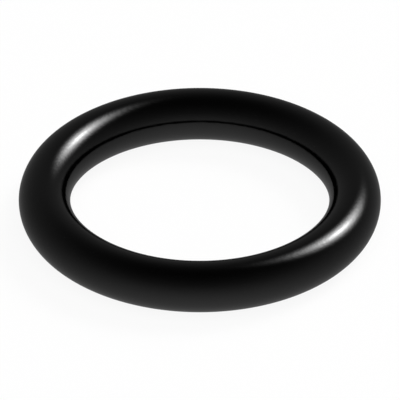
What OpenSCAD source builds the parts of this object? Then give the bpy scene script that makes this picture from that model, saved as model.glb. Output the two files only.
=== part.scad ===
// Rubber O-ring for a static or slow-moving seal, moulded in one piece.
// It is a solid round section carried once round a circle. The ring lies flat, with its axis
// on Z and its centre at the origin, so that the mould's parting plane is Z = 0.

/* [Ring] */
// Inside diameter of the free ring, before it is stretched into a groove
inside_diameter = 25; // [6:0.5:150]

/* [Section] */
// Diameter of the round section, which is also the ring's height
section_diameter = 5; // [1:0.1:8]

/* [Hidden] */

RUBBER_BLACK = "#0b0b0c";
CURVE_SIDES = 128;

section_radius = section_diameter / 2;
centreline_radius = inside_diameter / 2 + section_radius;

// The section as the mould cuts it, standing off the ring's axis
module round_section() {
    translate([centreline_radius, 0])
        circle(r = section_radius, $fn = CURVE_SIDES);
}

module o_ring() {
    color(RUBBER_BLACK)
        rotate_extrude($fn = CURVE_SIDES)
            round_section();
}

o_ring();
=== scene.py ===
import math
import bpy
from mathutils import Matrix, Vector


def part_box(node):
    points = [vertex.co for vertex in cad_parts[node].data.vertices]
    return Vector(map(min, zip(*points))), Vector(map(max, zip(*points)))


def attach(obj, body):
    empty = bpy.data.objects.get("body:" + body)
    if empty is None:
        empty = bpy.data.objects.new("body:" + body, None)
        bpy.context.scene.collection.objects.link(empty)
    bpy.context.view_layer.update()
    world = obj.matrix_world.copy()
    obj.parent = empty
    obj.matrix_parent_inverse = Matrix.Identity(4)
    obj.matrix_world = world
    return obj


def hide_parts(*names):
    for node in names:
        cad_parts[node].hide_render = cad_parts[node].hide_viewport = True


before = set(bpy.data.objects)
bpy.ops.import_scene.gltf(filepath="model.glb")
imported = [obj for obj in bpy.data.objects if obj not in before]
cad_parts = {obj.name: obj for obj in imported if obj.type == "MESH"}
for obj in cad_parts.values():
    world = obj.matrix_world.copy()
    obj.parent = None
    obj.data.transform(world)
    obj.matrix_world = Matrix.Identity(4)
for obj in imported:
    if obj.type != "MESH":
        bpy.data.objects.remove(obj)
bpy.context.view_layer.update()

# O-ring
# A solid round cord of black nitrile rubber, closed on itself with no joint. It is pressed to
# shape and cured in a two-part steel mould, so it leaves the mould as one piece, and it lies
# flat with its axis upright.

MM = 0.001
ring_low, ring_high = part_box("o_ring")
section_radius = (ring_high.z - ring_low.z) / 2
centreline_radius = (ring_high.x - ring_low.x) / 2 - section_radius
STEPS_ROUND_THE_RING = 512
STEPS_ROUND_THE_SECTION = 128


def revolve_the_section():
    """The section's circle, carried once round the ring's axis as a closed skin of quads."""
    points = []
    for i in range(STEPS_ROUND_THE_RING):
        turn = math.tau * i / STEPS_ROUND_THE_RING
        for j in range(STEPS_ROUND_THE_SECTION):
            lean = math.tau * j / STEPS_ROUND_THE_SECTION
            reach = centreline_radius + section_radius * math.cos(lean)
            height = section_radius * math.sin(lean)
            points.append((reach * math.cos(turn), reach * math.sin(turn), height))
    faces = []
    for i in range(STEPS_ROUND_THE_RING):
        here = i * STEPS_ROUND_THE_SECTION
        ahead = (i + 1) % STEPS_ROUND_THE_RING * STEPS_ROUND_THE_SECTION
        for j in range(STEPS_ROUND_THE_SECTION):
            up = (j + 1) % STEPS_ROUND_THE_SECTION
            faces.append((here + j, ahead + j, ahead + up, here + up))
    mesh = bpy.data.meshes.new("moulded_ring")
    mesh.from_pydata(points, [], faces)
    mesh.polygons.foreach_set("use_smooth", [True] * len(faces))
    return mesh


def linear(hex_colour):
    """An sRGB hex colour as the linear values that Blender mixes."""
    channels = [int(hex_colour[i:i + 2], 16) / 255 for i in (1, 3, 5)]
    return [c / 12.92 if c <= 0.04045 else ((c + 0.055) / 1.055) ** 2.4 for c in channels] + [1.0]


def add(tree, kind, sockets=None, **settings):
    """Adds a node with its settings. A socket takes a value, or another node's output."""
    node = tree.nodes.new(kind)
    for name, value in settings.items():
        setattr(node, name, value)
    for name, value in (sockets or {}).items():
        if isinstance(value, bpy.types.NodeSocket):
            tree.links.new(value, node.inputs[name])
        else:
            node.inputs[name].default_value = value
    return node


def moulded_nitrile():
    """Black nitrile rubber as it leaves a polished mould. The eye sees almost no colour of its
    own, only a clear, slightly soft gloss that mirrors the light and the ring's far side."""
    material = bpy.data.materials.new("moulded_nitrile_rubber")
    material.use_nodes = True
    tree = material.node_tree
    tree.nodes.clear()
    place = add(tree, "ShaderNodeTexCoord").outputs["Object"]

    # Mould release dries in faint patches a few millimetres wide, some a little duller and paler.
    # The noise that draws them keeps almost wholly between the two levels given here.
    patch_width = 3 * MM
    noise_low = 0.3
    noise_high = 0.7
    glossiest = 0.04
    dullest = 0.06
    patches = add(tree, "ShaderNodeTexNoise", {"Vector": place, "Scale": 1 / patch_width,
                                               "Detail": 3.0, "Roughness": 0.5})
    gloss = add(tree, "ShaderNodeMapRange", {"Value": patches.outputs["Fac"],
                                             "From Min": noise_low, "From Max": noise_high,
                                             "To Min": glossiest, "To Max": dullest})
    # The node's sockets 6 and 7 and its output 2 are the ones for colour
    shade = add(tree, "ShaderNodeMix", {"Factor": patches.outputs["Fac"],
                                        6: linear("#010101"), 7: linear("#030303")},
                data_type="RGBA")

    # The mould's polished face leaves a grain of a few hundredths of a millimetre. It is drawn
    # ten times coarser, so that it shows as the faint mottle at the edges of the highlights.
    grain_width = 0.4 * MM
    grain_depth = 0.011 * MM
    grain = add(tree, "ShaderNodeTexNoise", {"Vector": place, "Scale": 1 / grain_width,
                                             "Detail": 4.0, "Roughness": 0.75})
    skin = add(tree, "ShaderNodeBump", {"Height": grain.outputs["Fac"],
                                        "Strength": 1.0, "Distance": grain_depth})
    nitrile_ior = 1.5
    rubber = add(tree, "ShaderNodeBsdfPrincipled", {"Base Color": shade.outputs[2],
                                                    "Roughness": gloss.outputs["Result"],
                                                    "IOR": nitrile_ior,
                                                    "Normal": skin.outputs["Normal"]})
    add(tree, "ShaderNodeOutputMaterial", {"Surface": rubber.outputs["BSDF"]})
    return material


o_ring = bpy.data.objects.new("rubber_o_ring", revolve_the_section())
bpy.context.scene.collection.objects.link(o_ring)
o_ring.data.materials.append(moulded_nitrile())
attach(o_ring, "root")
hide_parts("o_ring")

# Floor
# A plain white studio table that the ring lies on. It is smooth, matt and bare, and runs out
# of sight on every side.

FLOOR_RADIUS = 1.0
FLOOR_EDGES = 96

# The share of the table's white that is its own, which no shadow darkens
OWN_WHITE = 0.92


def direct_view(tree):
    """One for the camera's rays, those through glass included, and nought for any other ray."""
    ray = add(tree, "ShaderNodeLightPath").outputs
    return add(tree, "ShaderNodeMath", {0: ray["Is Camera Ray"], 1: ray["Is Transmission Ray"]},
               operation="ADD").outputs[0]


def white_table():
    """Matt white paper. Most of its white is its own, so the ring's shadow stays faint."""
    material = bpy.data.materials.new("matt_white_table")
    material.use_nodes = True
    tree = material.node_tree
    tree.nodes.clear()
    share = add(tree, "ShaderNodeMath", {0: direct_view(tree), 1: OWN_WHITE},
                operation="MULTIPLY")
    paper = add(tree, "ShaderNodeBsdfDiffuse", {"Color": linear("#fafafa")})
    white = add(tree, "ShaderNodeEmission", {"Color": linear("#ffffff"), "Strength": 1.0})
    both = add(tree, "ShaderNodeMixShader", {0: share.outputs[0], 1: paper.outputs[0],
                                             2: white.outputs[0]})
    add(tree, "ShaderNodeOutputMaterial", {"Surface": both.outputs[0]})
    return material


floor_turns = [math.tau * i / FLOOR_EDGES for i in range(FLOOR_EDGES)]
floor_rim = [(FLOOR_RADIUS * math.cos(turn), FLOOR_RADIUS * math.sin(turn), ring_low.z)
             for turn in floor_turns]
floor_mesh = bpy.data.meshes.new("table_top")
floor_mesh.from_pydata(floor_rim, [], [range(FLOOR_EDGES)])
floor = bpy.data.objects.new("table_top", floor_mesh)
bpy.context.scene.collection.objects.link(floor)
floor_mesh.materials.append(white_table())
# In the gloss, the room's pale lower half stands in for the table
floor.visible_glossy = False

# Light
# A round softbox stands high on the right, behind the ring: a bright disc in a glow that fades
# to its rim. A fill lamp overhead lifts the level and is kept out of the gloss. The room is
# dark overhead and grows paler downwards, most of all in front of the ring.

SOFTBOX_DISTANCE = 2.0
SOFTBOX_AZIMUTH = math.radians(43.3)
SOFTBOX_ELEVATION = math.radians(44.3)
towards_softbox = Vector((math.cos(SOFTBOX_AZIMUTH) * math.cos(SOFTBOX_ELEVATION),
                          math.sin(SOFTBOX_AZIMUTH) * math.cos(SOFTBOX_ELEVATION),
                          math.sin(SOFTBOX_ELEVATION)))

# As seen from the ring: the rim, the circle on which the glow has fallen to half, and the disc
SOFTBOX_ANGLE = math.radians(30)
HALF_GLOW_ANGLE = math.radians(11.1)
DISC_ANGLE = math.radians(5.0)

# The glow at its middle, and what the disc adds to it
GLOW_RADIANCE = 13.2
DISC_RADIANCE = 10.5

# The glow's bell is a little flatter inside and steeper outside than one of power 2, and the
# disc fades out over a fifth of its radius on each side of its edge
GLOW_POWER = 2.3
DISC_FADE = 0.2

FILL_DIRECTION = Vector((0, -0.3, 1)).normalized()
FILL_DISTANCE = 0.8
FILL_RADIUS = 0.4
FILL_RADIANCE = 2.2

# The room's level at the horizon and its fall from there to straight overhead, first what is
# the same all round and then what comes on top in front and is missing behind
ROOM_LEVEL = 0.239
ROOM_FALL = 0.224
FRONT_LEVEL = 0.113
FRONT_FALL = 0.189


def round_lamp(name, direction, distance, radius, radiance):
    """A round area lamp that faces the ring's middle, as bright as the radiance at its face."""
    data = bpy.data.lights.new(name, "AREA")
    data.shape = "DISK"
    data.size = 2 * radius
    # A matt face sends out pi times its radiance from each unit of its area
    face_area = math.pi * radius ** 2
    data.energy = radiance * math.pi * face_area
    lamp = bpy.data.objects.new(name, data)
    lamp.location = direction * distance
    lamp.rotation_euler = direction.to_track_quat("Z", "Y").to_euler()
    bpy.context.scene.collection.objects.link(lamp)
    return lamp


def first_reflection(tree):
    """One for light mirrored once at most, and nought for light mirrored twice or more. The
    ring's far side then shows in its own gloss as a clean black line."""
    between_one_and_two = 1.5
    mirrorings = add(tree, "ShaderNodeLightPath").outputs["Glossy Depth"]
    return add(tree, "ShaderNodeMath", {0: mirrorings, 1: between_one_and_two},
               operation="LESS_THAN").outputs[0]


def light_the_face(lamp):
    """Spreads the softbox's light over its face: the glow round its middle and the disc on it."""
    lamp.data.use_nodes = True
    tree = lamp.data.node_tree
    tree.nodes.clear()
    spot = add(tree, "ShaderNodeNewGeometry").outputs["Position"]
    offset = add(tree, "ShaderNodeVectorMath", {0: spot, 1: lamp.location},
                 operation="DISTANCE").outputs["Value"]
    half_glow_radius = SOFTBOX_DISTANCE * math.tan(HALF_GLOW_ANGLE)
    share = add(tree, "ShaderNodeMath", {0: offset, 1: half_glow_radius}, operation="DIVIDE")
    halvings = add(tree, "ShaderNodeMath", {0: share.outputs[0], 1: GLOW_POWER},
                   operation="POWER")
    glow = add(tree, "ShaderNodeMath", {0: 0.5, 1: halvings.outputs[0]}, operation="POWER")
    disc_radius = SOFTBOX_DISTANCE * math.tan(DISC_ANGLE)
    disc = add(tree, "ShaderNodeMapRange", {"Value": offset,
                                            "From Min": (1 - DISC_FADE) * disc_radius,
                                            "From Max": (1 + DISC_FADE) * disc_radius,
                                            "To Min": DISC_RADIANCE / GLOW_RADIANCE,
                                            "To Max": 0.0})
    both = add(tree, "ShaderNodeMath", {0: glow.outputs[0], 1: disc.outputs[0]},
               operation="ADD")
    shown = add(tree, "ShaderNodeMath", {0: both.outputs[0], 1: first_reflection(tree)},
                operation="MULTIPLY")
    face = add(tree, "ShaderNodeEmission", {"Color": linear("#ffffff"),
                                            "Strength": shown.outputs[0]})
    add(tree, "ShaderNodeOutputLight", {"Surface": face.outputs[0]})


def studio_room():
    """The room that the gloss mirrors. The camera sees plain white in its place."""
    world = bpy.data.worlds.new("studio_room")
    world.use_nodes = True
    tree = world.node_tree
    tree.nodes.clear()
    way = add(tree, "ShaderNodeTexCoord").outputs["Generated"]
    axes = add(tree, "ShaderNodeSeparateXYZ", {"Vector": way}).outputs
    all_round = add(tree, "ShaderNodeMath", {0: axes["Z"], 1: -ROOM_FALL, 2: ROOM_LEVEL},
                    operation="MULTIPLY_ADD")
    # The front's share and Y are both negative in front of the ring, so their product adds light
    front = add(tree, "ShaderNodeMath", {0: axes["Z"], 1: FRONT_FALL, 2: -FRONT_LEVEL},
                operation="MULTIPLY_ADD")
    front = add(tree, "ShaderNodeMath", {0: front.outputs[0], 1: 0.0}, operation="MINIMUM")
    level = add(tree, "ShaderNodeMath", {0: axes["Y"], 1: front.outputs[0],
                                         2: all_round.outputs[0]}, operation="MULTIPLY_ADD")
    shown = add(tree, "ShaderNodeMath", {0: level.outputs[0], 1: first_reflection(tree)},
                operation="MULTIPLY")
    white = add(tree, "ShaderNodeMath", {0: shown.outputs[0], 1: direct_view(tree)},
                operation="MAXIMUM")
    room = add(tree, "ShaderNodeBackground", {"Color": linear("#ffffff"),
                                              "Strength": white.outputs[0]})
    add(tree, "ShaderNodeOutputWorld", {"Surface": room.outputs[0]})
    return world


softbox = round_lamp("softbox", towards_softbox, SOFTBOX_DISTANCE,
                     SOFTBOX_DISTANCE * math.tan(SOFTBOX_ANGLE), GLOW_RADIANCE)
light_the_face(softbox)
fill = round_lamp("fill", FILL_DIRECTION, FILL_DISTANCE, FILL_RADIUS, FILL_RADIANCE)
fill.visible_glossy = False
bpy.context.scene.world = studio_room()

# Camera
# It looks down at the ring from the front, and takes in the ring's width with a narrow margin.
# It sees no perspective, as from very far away.

CAMERA_ELEVATION = math.radians(33.81)
CAMERA_DISTANCE = 0.3
SIDE_MARGIN = 1.8235 * MM

# The point in the middle of the picture, a hair off the ring's own middle
AIM = Vector((0.02 * MM, 0, 0.01 * MM))

camera_data = bpy.data.cameras.new("camera")
camera_data.type = "ORTHO"
camera_data.ortho_scale = ring_high.x - ring_low.x + 2 * SIDE_MARGIN
camera = bpy.data.objects.new("camera", camera_data)
towards_camera = Vector((0, -math.cos(CAMERA_ELEVATION), math.sin(CAMERA_ELEVATION)))
camera.location = AIM + towards_camera * CAMERA_DISTANCE
camera.rotation_euler = towards_camera.to_track_quat("Z", "Y").to_euler()
bpy.context.scene.collection.objects.link(camera)
bpy.context.scene.camera = camera
bpy.context.scene.view_settings.view_transform = "Standard"
